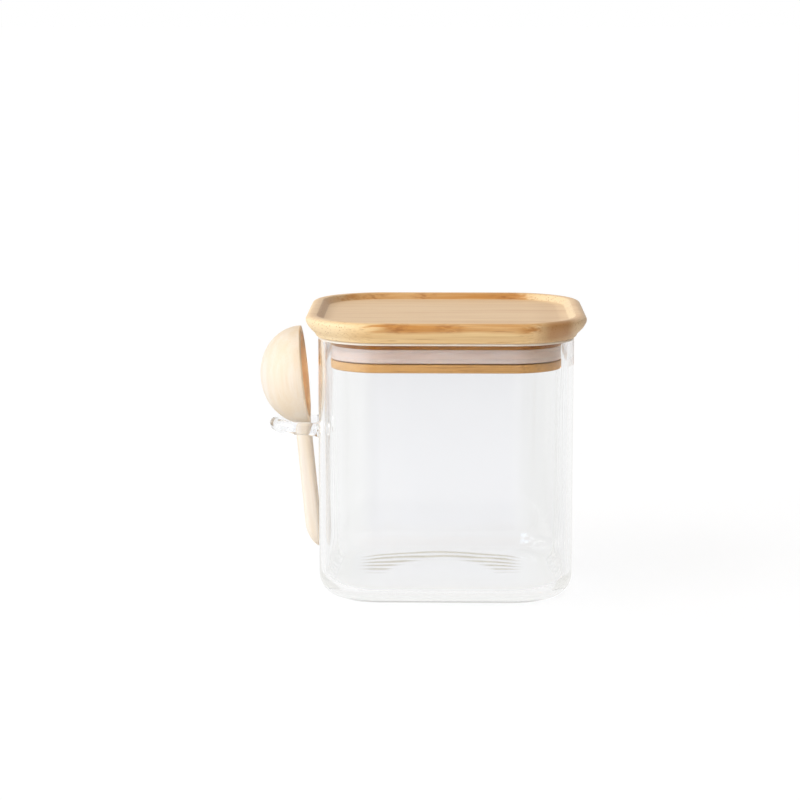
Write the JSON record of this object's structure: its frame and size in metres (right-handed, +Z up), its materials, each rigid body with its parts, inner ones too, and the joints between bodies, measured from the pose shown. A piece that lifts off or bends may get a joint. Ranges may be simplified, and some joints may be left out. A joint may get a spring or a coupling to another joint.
{
  "type": "glass canister",
  "caption": "Square food canister of clear glass with a bamboo lid, a silicone seal and a wooden scoop that hangs in a glass loop on its side.",
  "frame": {"origin": "centre of the jar's base, on the flat face that it stands on", "axes": "+Z up, along the way the lid lifts off; -Y is the front; the scoop hangs on the -X wall"},
  "size_m": [0.1298, 0.1098, 0.1113],
  "materials": {
    "clear_glass": "clear blown glass, polished",
    "bamboo": "satin laminated bamboo",
    "silicone": "translucent silicone",
    "pale_wood": "sanded unfinished wood"
  },
  "bodies": {
    "jar": {"glass_jar": "clear_glass", "scoop_loop": "clear_glass"},
    "lid": {"lid_board": "bamboo", "lid_plug": "bamboo", "seal_ring": "silicone"},
    "scoop": {"wooden_scoop": "pale_wood"}
  },
  "joints": [
    {"name": "lid_lift", "type": "slide", "parent": "jar", "child": "lid", "axis": [0, 0, 1], "range_m": [0, 0.05]},
    {"name": "scoop_lift", "type": "slide", "parent": "jar", "child": "scoop", "axis": [-0.1002, 0, 0.995], "range_m": [0, 0.065]}
  ]
}
